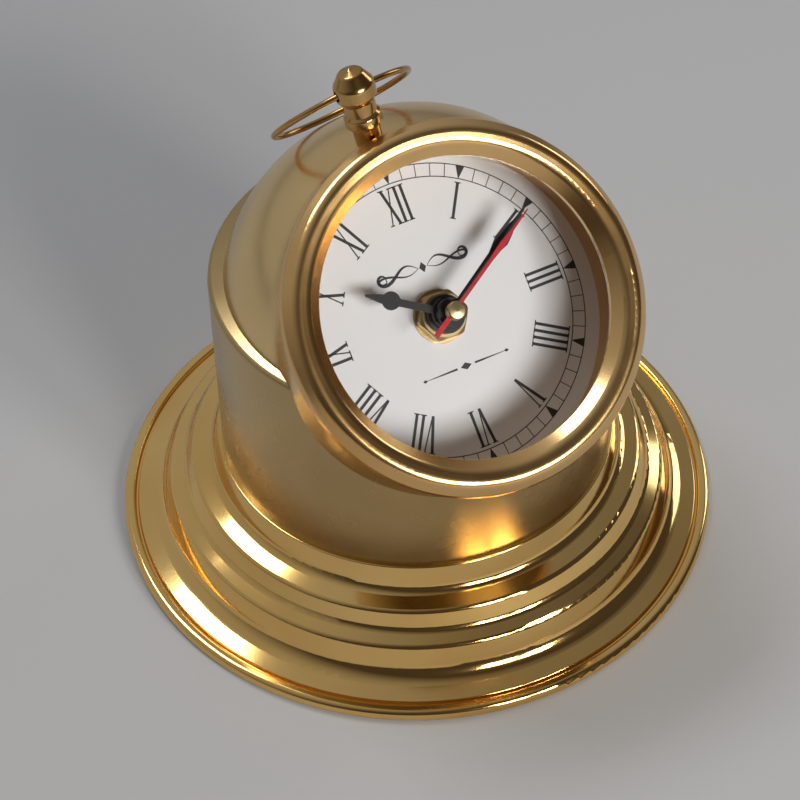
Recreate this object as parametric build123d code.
from build123d import *
import math
import os

os.makedirs("parts", exist_ok=True)

# Binnacle-shaped desk clock in polished brass: a stepped round foot, an upright drum,
# a domed hood with a sloping round face, and a quartz movement behind the dial.
# Units are millimetres, +Z is up, the face looks toward -Y and up.
# The origin is the middle of the felt pad's underside.

# ---- driving dimensions: foot and drum ----
foot_radius = 65.0
foot_clearance = 0.4
rim_width = 3.7
rim_height = 2.9
collar_top = 23.4
drum_radius = 42.0
drum_wall = 1.1
drum_bottom = 18.0
shoulder_start = 68.4
shoulder_top = 70.3
felt_thickness = 0.9
plate_thickness = 1.0

# ---- driving dimensions: hood and face ----
face_tilt = 42.0
dial_y = -12.5
dial_z = 64.8
dome_radius = 40.2
dome_y = -1.6
dome_z = 60.8
hood_wall = 1.1
hood_bottom = 68.0
barrel_radius = 36.8
barrel_back = -3.0
barrel_front = 16.0

# ---- driving dimensions: pendant knob and bow ----
knob_x = -5.5
knob_y = 6.9
bow_hole_height = 11.9
bow_radius = 15.0
bow_wire = 0.65
bow_rest_gap = 0.3

# ---- driving dimensions: dial, hands and movement ----
dial_radius = 35.4
hour_turn = 59.5
minute_turn = -55.9
second_turn = -56.8
case_side = 52.0
case_corner = 4.0
case_wall = 1.2
case_front = -2.0
case_split = -14.0
case_back = -17.0
running_gap = 0.08

tilt = math.radians(face_tilt)
face = Plane(origin=(0, dial_y, dial_z), x_dir=(1, 0, 0), z_dir=(0, -math.sin(tilt), math.cos(tilt)))
dome_centre = Vector(0, dome_y, dome_z)


# ---- helpers ----
def save(shape, name):
    """Write one named piece."""
    export_step(shape, f"parts/{name}.step")
    print(name, round(shape.volume, 2))


def on_face(shape):
    """Move a piece drawn on the dial's own plane to its place on the clock."""
    return face.location * shape


def outline(corners):
    """A closed profile from (radius, height, rounding) corners."""
    shape = make_face(Polyline(*[(r, z) for r, z, _ in corners], close=True))
    for r, z, rounding in corners:
        if rounding:
            corner = shape.vertices().sort_by_distance((r, z, 0))[0]
            shape = fillet(corner, rounding)
    return shape


def turned(corners):
    """A lathe-turned or spun piece about the Z axis."""
    return revolve(Plane.XZ * outline(corners), Axis.Z)


def tube(outer, inner, low, high):
    """A round ring between two heights."""
    return turned([(inner, low, 0), (outer, low, 0), (outer, high, 0), (inner, high, 0)])


def rod(radius, low, high, x=0, y=0):
    """A round bar between two heights."""
    return Pos(x, y, (low + high) / 2) * Cylinder(radius, high - low)


def slab(x0, x1, y0, y1, low, high):
    """A rectangular block from its limits."""
    middle = Pos((x0 + x1) / 2, (y0 + y1) / 2, (low + high) / 2)
    return middle * Box(x1 - x0, y1 - y0, high - low)


def polar(distance, angle):
    """A point at a distance and an angle in degrees."""
    turn = math.radians(angle)
    return distance * math.cos(turn), distance * math.sin(turn)


# ---- foot: spun brass with two steps, a scored groove and a rolled rim ----
rim_inner = foot_radius - rim_width
foot_profile = [
    (foot_radius, foot_clearance, 0.5),
    (foot_radius, rim_height, 1.2),
    (62.75, rim_height, 0.5),
    (62.35, 2.0, 0),
    (62.05, 2.0, 0),
    (61.75, 2.75, 0.25),
    (56.2, 4.3, 4.5),
    (54.0, 10.9, 1.3),
    (50.7, 12.3, 2.0),
    (48.9, 16.3, 1.2),
    (44.3, 17.7, 2.4),
    (42.9, collar_top, 0.4),
    (drum_radius, collar_top, 0),
    (drum_radius, 17.2, 0),
    (47.9, 15.4, 1.2),
    (49.7, 11.4, 1.2),
    (53.0, 10.0, 1.2),
    (55.3, 3.2, 3.0),
    (rim_inner, 1.9, 0),
    (rim_inner, foot_clearance, 0),
]
save(turned(foot_profile), "base_flange")

plate_bottom = felt_thickness
save(rod(rim_inner, plate_bottom, plate_bottom + plate_thickness), "base_plate")
save(rod(rim_inner - 0.5, 0, felt_thickness), "felt_pad")

# ---- hood: pressed dome joined to a short sloping barrel ----
dome = Pos(dome_centre) * Rot(Z=90) * Sphere(dome_radius)
dome_hollow = Pos(dome_centre) * Rot(Z=90) * Sphere(dome_radius - hood_wall)
far = 130
above_shoulder = slab(-far, far, -far, far, hood_bottom, far)
behind_face = on_face(slab(-far, far, -far, far, -far, barrel_front))
barrel = on_face(Rot(Z=90) * rod(barrel_radius, barrel_back, barrel_front))
barrel_inner = barrel_radius - hood_wall
barrel_bore = on_face(Rot(Z=90) * rod(barrel_inner, barrel_back - 1, barrel_front + 1))
hood_solid = (dome & above_shoulder & behind_face) + barrel
hood = hood_solid - dome_hollow - barrel_bore
save(hood, "hood")

# ---- drum: drawn tube closed at the top by a narrow sloping shoulder ----
shoulder_inner = 36.5
drum_profile = [
    (drum_radius - drum_wall, drum_bottom, 0),
    (drum_radius, drum_bottom, 0),
    (drum_radius, shoulder_start, 1.3),
    (shoulder_inner, shoulder_top, 0),
    (shoulder_inner, shoulder_top - drum_wall, 0),
    (drum_radius - drum_wall, shoulder_start - 1.0, 0.8),
]
face_opening = on_face(Rot(Z=90) * rod(barrel_radius, barrel_back, far / 2))
seat_front = -30
hood_above = dome & slab(-far, far, seat_front, far, hood_bottom - 1, far)
drum = Rot(Z=90) * turned(drum_profile) - face_opening
drum = drum - hood_above
save(drum, "drum")

# ---- pendant knob, screwed to the dome behind the face ----
knob_rise = math.sqrt(dome_radius**2 - knob_x**2 - (knob_y - dome_y) ** 2)
knob_foot = Vector(knob_x, knob_y, dome_z + knob_rise)
knob_axis = (knob_foot - dome_centre).normalized()
knob_across = (Vector(1, 0, 0) - knob_axis * knob_axis.X).normalized()
knob_plane = Plane(origin=knob_foot, x_dir=knob_across, z_dir=knob_axis)

knob_profile = [
    (0, -0.6, 0),
    (2.8, -0.6, 0),
    (2.8, 3.5, 0.4),
    (3.8, 4.1, 0.5),
    (3.8, 6.1, 0.5),
    (3.2, 6.7, 0),
    (3.3, 9.3, 0.5),
    (4.15, 10.4, 0.9),
    (4.2, 13.2, 1.8),
    (2.5, 15.8, 0.9),
    (0.6, 16.3, 0),
    (0, 16.6, 0),
]
hole_reach = 4.6
hole_waist = bow_wire + 0.06
hole_flare = hole_waist + hole_reach**2 / (2 * bow_radius) + 0.12
half_hole = make_face(
    [
        Line((0, -hole_reach), (hole_flare, -hole_reach)),
        ThreePointArc((hole_flare, -hole_reach), (hole_waist, 0), (hole_flare, hole_reach)),
        Line((hole_flare, hole_reach), (0, hole_reach)),
        Line((0, hole_reach), (0, -hole_reach)),
    ]
)
bow_hole = Pos(0, 0, bow_hole_height) * Rot(Y=90) * revolve(Plane.XZ * half_hole, Axis.Z)
knob = knob_plane.location * (turned(knob_profile) - bow_hole) - hood_solid
save(knob, "pendant_knob")

# ---- bow: wire ring through the knob, lying back on the dome ----
hole_reach_up = dome_radius + bow_hole_height
rest_distance = dome_radius + bow_wire + bow_rest_gap
reach = 2 * bow_radius
bow_droop = math.asin((hole_reach_up**2 + reach**2 - rest_distance**2) / (2 * reach * hole_reach_up))
bow_ring = Pos(0, bow_radius, 0) * Torus(bow_radius, bow_wire)
bow_place = Pos(0, 0, bow_hole_height) * Rot(X=-math.degrees(bow_droop))
bow = knob_plane.location * bow_place * bow_ring
save(bow, "bow_ring")

# ---- face: mounting plate, dial and spacer inside the hood ----
case_hole = Rectangle(case_side + 0.6, case_side + 0.6)
case_hole = fillet(case_hole.vertices(), case_corner + 0.3)
plate_back = -2.4
card_thickness = 0.4
dial_plate_back = -1.4
mounting = rod(60, plate_back, dial_plate_back) - Pos(0, 0, plate_back - 1) * extrude(case_hole, 4)
save(on_face(mounting & rod(barrel_inner, -5, 5)), "mounting_plate")

bushing_radius = 4.0
save(on_face(tube(dial_radius, bushing_radius, dial_plate_back, -card_thickness)), "dial_plate")
save(on_face(tube(dial_radius, bushing_radius, -card_thickness, 0)), "dial_card")
save(on_face(tube(35.55, 34.6, 0, 9.6)), "spacer_ring")
save(on_face(tube(7.0, bushing_radius, case_front, dial_plate_back)), "rubber_washer")
save(on_face(tube(5.6, bushing_radius, 0, 0.4)), "brass_washer")
nut_flats = 4.8
nut = extrude(RegularPolygon(nut_flats, 6, major_radius=False), 2.9)
nut_trim = turned([(0, -1, 0), (5.35, -1, 0), (5.35, 2.4, 0), (4.6, 2.9, 0), (0, 2.9, 0)])
nut = (nut & nut_trim) - rod(bushing_radius, -1, 5)
save(on_face(Pos(0, 0, 0.4) * nut), "fixing_nut")

# ---- bezel: press-on ring holding the glass ----
bezel_back = barrel_front + 0.1
glass_radius = 31.9
bezel_profile = [
    (35.62, 10.0, 0.2),
    (35.62, bezel_back, 0),
    (37.1, bezel_back, 0),
    (37.7, 16.7, 0.4),
    (37.5, 18.7, 1.2),
    (35.4, 21.1, 2.2),
    (32.6, 20.7, 2.4),
    (30.1, 18.5, 0.2),
    (30.1, 17.6, 0),
    (glass_radius, 17.6, 0),
    (glass_radius, 15.2, 0),
    (34.5, 15.2, 0.4),
    (34.5, 10.0, 0.2),
]
save(on_face(turned(bezel_profile)), "bezel")
save(on_face(rod(glass_radius, 15.9, 17.6)), "bezel_glass")
save(on_face(tube(glass_radius, 30.9, 15.2, 15.9)), "glass_retaining_ring")


# ---- movement: two-part case ----
def case_block(low, high, inset):
    """A rounded square block of the movement's case."""
    side = case_side - 2 * inset
    plan = fillet(Rectangle(side, side).vertices(), case_corner - inset)
    return Pos(0, 0, low) * extrude(plan, high - low)


floor = case_front - 1.0
back_floor = case_back + 1.4
third_x, third_y = polar(10.2, 60)
idler_x, idler_y = polar(7.2, 160)
rotor_dx, rotor_dy = polar(7.35, 150)
rotor_x, rotor_y = idler_x + rotor_dx, idler_y + rotor_dy
motion_x, motion_y = polar(9.6, -20)
setter_dx, setter_dy = polar(9.6, -10)
setter_x, setter_y = motion_x + setter_dx, motion_y + setter_dy

hour_tube = 2.5
minute_tube = 1.5
second_arbor = 0.5
thin_arbor = 0.4
bearing_depth = 0.6

front_case = case_block(case_split, case_front, 0) - case_block(case_split - 1, floor, case_wall)
front_case += rod(bushing_radius, floor, 4.6)
front_case -= rod(hour_tube + running_gap, floor - 1, 5)
front_case += rod(thin_arbor + 0.1, -5.9, floor, motion_x, motion_y)
front_case -= rod(thin_arbor + running_gap, floor - 0.1, floor + bearing_depth, third_x, third_y)
save(on_face(front_case), "movement_front_case")

back_case = case_block(case_back, case_split, 0) - case_block(back_floor, case_split + 1, case_wall)
for post_x, post_y in ((-22.2, 3.6), (-22.2, 17.0), (-9.4, 9.2)):
    back_case += rod(0.8, back_floor, -13.1, post_x, post_y)
back_case -= rod(second_arbor + running_gap, back_floor - bearing_depth, back_floor + 0.1)
for pin_x, pin_y in ((third_x, third_y), (idler_x, idler_y), (rotor_x, rotor_y)):
    back_case -= rod(thin_arbor + running_gap, back_floor - bearing_depth, back_floor + 0.1, pin_x, pin_y)
back_case -= rod(1.2 + running_gap, case_back - 1, back_floor + 1, setter_x, setter_y)
save(on_face(back_case), "movement_back_case")

wall_inside = case_side / 2 - case_wall
bridge = slab(-wall_inside, -5.2, 0.6, 9.0, -8.7, -7.7)
for pin_x, pin_y in ((idler_x, idler_y), (rotor_x, rotor_y)):
    bridge -= rod(thin_arbor + running_gap, -8.8, -8.7 + bearing_depth, pin_x, pin_y)
save(on_face(bridge), "wheel_bridge")


# ---- movement: wheels and pinions ----
def gear(teeth, module, low, high, phase=0.0, share=0.36):
    """A spur wheel with slim teeth, one of them at the phase angle."""
    root = module * (teeth / 2 - 1.15)
    pitch = module * teeth / 2
    tip = module * (teeth / 2 + 0.75)
    step = 360 / teeth
    corners = []
    for tooth in range(teeth):
        middle = phase + tooth * step
        for radius, half in ((root, 0.30), (pitch, share / 2), (tip, 0.08)):
            corners.append(polar(radius, middle - half * step))
        for radius, half in ((tip, 0.08), (pitch, share / 2), (root, 0.30)):
            corners.append(polar(radius, middle + half * step))
    plan = make_face(Polyline(*corners, close=True))
    return Pos(0, 0, low) * extrude(plan, high - low)


def mesh_phase(wheel_phase, wheel_teeth, pinion_teeth, direction):
    """The phase that puts a pinion in mesh with a wheel lying the other way along a direction."""
    lead = direction - wheel_phase
    return direction + 180 + lead * wheel_teeth / pinion_teeth + 180 / pinion_teeth


# hour wheel and its tube, turning on the bushing's bore
hour_wheel = gear(40, 0.384, -4.1, -3.3) + rod(hour_tube, -4.1, 6.6)
hour_wheel -= rod(minute_tube + running_gap, -5, 8)
save(on_face(hour_wheel), "hour_wheel")

# motion wheel and pinion, on the front case's stud
cannon_phase = 0.0
motion_phase = mesh_phase(cannon_phase, 12, 36, -20)
motion_pinion_phase = mesh_phase(0.0, 40, 10, -20)
motion_wheel = gear(36, 0.4, -5.4, -4.6, motion_phase)
motion_wheel += gear(10, 0.384, -5.0, -3.2, motion_pinion_phase)
motion_wheel -= rod(thin_arbor + 0.1 + running_gap, -6, -3)
save(on_face(Pos(motion_x, motion_y, 0) * motion_wheel), "motion_wheel")

# centre wheel, cannon pinion and minute tube
centre_wheel = gear(64, 0.28333, -6.9, -6.2) + gear(12, 0.4, -6.4, -4.4, cannon_phase)
centre_wheel += rod(minute_tube, -6.5, 8.5)
centre_wheel -= rod(second_arbor + running_gap, -8, 10)
save(on_face(centre_wheel), "centre_wheel")

# third wheel: its pinion drives the centre wheel
third_pinion_phase = mesh_phase(0.0, 64, 8, 60)
third_wheel = gear(60, 0.3, -8.4, -7.8) + gear(8, 0.28333, -8.0, -6.0, third_pinion_phase)
third_wheel += rod(thin_arbor, back_floor - bearing_depth + 0.1, floor + bearing_depth - 0.1)
save(on_face(Pos(third_x, third_y, 0) * third_wheel), "third_wheel")

# second wheel on the long arbor that carries the second hand
second_pinion_phase = mesh_phase(0.0, 60, 8, 240)
second_wheel = gear(30, 0.4, -9.9, -9.3) + gear(8, 0.3, -9.5, -7.6, second_pinion_phase)
second_wheel += rod(second_arbor, back_floor - bearing_depth + 0.1, 11.0)
save(on_face(second_wheel), "second_wheel")

# intermediate wheel between the rotor and the second wheel
idler_pinion_phase = mesh_phase(0.0, 30, 6, 160)
idler = gear(36, 0.35, -11.3, -10.8) + gear(6, 0.4, -11.0, -9.1, idler_pinion_phase, 0.34)
idler += rod(thin_arbor, back_floor - bearing_depth + 0.1, -8.7 + bearing_depth - 0.1)
save(on_face(Pos(idler_x, idler_y, 0) * idler), "intermediate_wheel")

# rotor: pinion and arbor, with the magnet on the same arbor
rotor_phase = mesh_phase(0.0, 36, 6, 150)
rotor_pinion = gear(6, 0.35, -11.5, -10.6, rotor_phase, 0.34)
rotor_pinion += rod(thin_arbor, back_floor - bearing_depth + 0.1, -8.7 + bearing_depth - 0.1)
save(on_face(Pos(rotor_x, rotor_y, 0) * rotor_pinion), "rotor_pinion")
save(on_face(Pos(rotor_x, rotor_y, 0) * tube(2.2, thin_arbor, -13.5, -11.8)), "rotor_magnet")

# hand-setting knob on the back, with its pinion in the motion wheel
setter_phase = mesh_phase(motion_phase, 36, 12, -10)
setter = gear(12, 0.4, -5.5, -4.5, setter_phase) + rod(1.2, case_back - 0.4, -5.4)
grip = rod(4.2, -19.9, case_back - 0.3)
for groove in range(24):
    groove_x, groove_y = polar(4.3, groove * 15)
    grip -= rod(0.3, -21, case_back, groove_x, groove_y)
save(on_face(Pos(setter_x, setter_y, 0) * (setter + grip)), "setting_knob")

# ---- movement: motor, circuit and cell ----
stator = slab(-23.5, -8.4, 2.2, 10.1, -13.1, -12.3) + slab(-23.5, -8.4, 15.5, 18.5, -13.1, -12.3)
stator += slab(-23.5, -20.5, 9.0, 16.5, -13.1, -12.3) + slab(-10.2, -8.4, 9.0, 16.5, -13.1, -12.3)
stator -= rod(2.6, -14, -12, rotor_x, rotor_y)
save(on_face(stator), "stator")

core = slab(-30, 0, 15.5, 18.5, -13.1, -12.3)
coil_middle_y, coil_middle_z = 17.0, -12.7
along_x = Rot(Y=90)
bobbin = slab(-19.8, -11.0, 15.1, 18.9, -13.5, -11.9)
for flange_x in (-19.8, -11.6):
    bobbin += slab(flange_x, flange_x + 0.6, 14.2, 19.8, -15.4, -10.0)
save(on_face(bobbin - core), "coil_bobbin")
winding = Pos(-15.4, coil_middle_y, coil_middle_z) * along_x * Cylinder(2.5, 7.6)
save(on_face(winding - slab(-30, 0, 15.1, 18.9, -13.5, -11.9)), "coil_winding")

board = slab(8.0, wall_inside - 0.4, 0.5, 22.5, back_floor, back_floor + 1.0)
save(on_face(board), "circuit_board")
chip = turned([(0, 0, 0), (2.4, 0, 0), (2.0, 0.7, 0), (0, 1.0, 0)])
save(on_face(Pos(13.0, 9.0, back_floor + 1.0) * chip), "timing_chip")
crystal = Pos(20.5, 16.0, back_floor + 2.0) * Rot(X=90) * Cylinder(1.0, 6.0)
save(on_face(crystal), "quartz_crystal")

cell_radius = 5.25
cell_y = -19.0
cell_z = -9.3
cell_half = 21.75
cell = Pos(0, cell_y, cell_z) * along_x * Cylinder(cell_radius, 2 * cell_half)
cell += Pos(cell_half + 0.45, cell_y, cell_z) * along_x * Cylinder(1.9, 0.9)
save(on_face(cell), "battery")


def contact(gap):
    """A leaf contact bent from strip, standing off the wall by a gap."""
    strip = [(0, -4.6), (0.4, -4.6), (0.4, 3.2), (gap - 0.4, 1.2), (gap - 0.4, -1.6)]
    strip += [(gap, -1.6), (gap, 1.5), (0.4, 3.9), (0, 3.9)]
    leaf = extrude(make_face(Polyline(*strip, close=True)), 2.5, both=True)
    return Rot(X=90) * leaf


positive = Pos(wall_inside, cell_y, cell_z) * Rot(Z=180) * contact(wall_inside - cell_half - 0.9)
negative = Pos(-wall_inside, cell_y, cell_z) * contact(wall_inside - cell_half)
save(on_face(positive), "contact_positive")
save(on_face(negative), "contact_negative")


# ---- hands ----
def hand(edge, low, thickness, turn, hub, hub_low, bore):
    """A flat hand from its right-hand edge, mirrored, on a turned hub."""
    left = [(-x, y) for x, y in reversed(edge) if x > 0]
    blade = Pos(0, 0, low) * extrude(make_face(Polyline(*edge, *left, close=True)), thickness)
    blade += rod(hub, hub_low, low + thickness)
    return Rot(Z=turn) * (blade - rod(bore, -20, 20))


bulb = [polar(1.9, angle) for angle in range(-60, 75, 15)]
bulb_at = 12.3
hour_edge = [(0, 1.0), (0.8, 1.0), (0.75, 10.4)]
hour_edge += [(x, bulb_at + y) for x, y in bulb]
hour_edge += [(0.85, 14.7), (0.25, 17.6), (0, 17.8)]
hour_hand = hand(hour_edge, 6.1, 0.5, hour_turn, 3.4, 5.0, hour_tube)
save(on_face(hour_hand), "hour_hand")

minute_edge = [(0, 1.0), (0.7, 1.0), (0.65, 14.5), (1.5, 18.2), (1.1, 20.6)]
minute_edge += [(0.4, 23.2), (0.2, 26.4), (0, 26.6)]
minute_hand = hand(minute_edge, 8.0, 0.5, minute_turn, 3.0, 7.1, minute_tube)
save(on_face(minute_hand), "minute_hand")

second_edge = [(0, -6.5), (0.55, -6.5), (0.5, -1.0), (0.35, 1.0), (0.35, 13.0)]
second_edge += [(0.6, 17.0), (0.25, 21.0), (0.12, 26.2), (0, 26.3)]
second_hand = hand(second_edge, 9.9, 0.3, second_turn, 1.1, 9.0, second_arbor)
save(on_face(second_hand), "second_hand")
cap_seat = 11.0
cap_profile = [
    (0, cap_seat, 0),
    (second_arbor, cap_seat, 0),
    (second_arbor, 10.2, 0),
    (1.95, 10.2, 0.15),
    (1.9, 11.8, 0.4),
    (0, 12.1, 0),
]
save(on_face(turned(cap_profile)), "centre_cap")
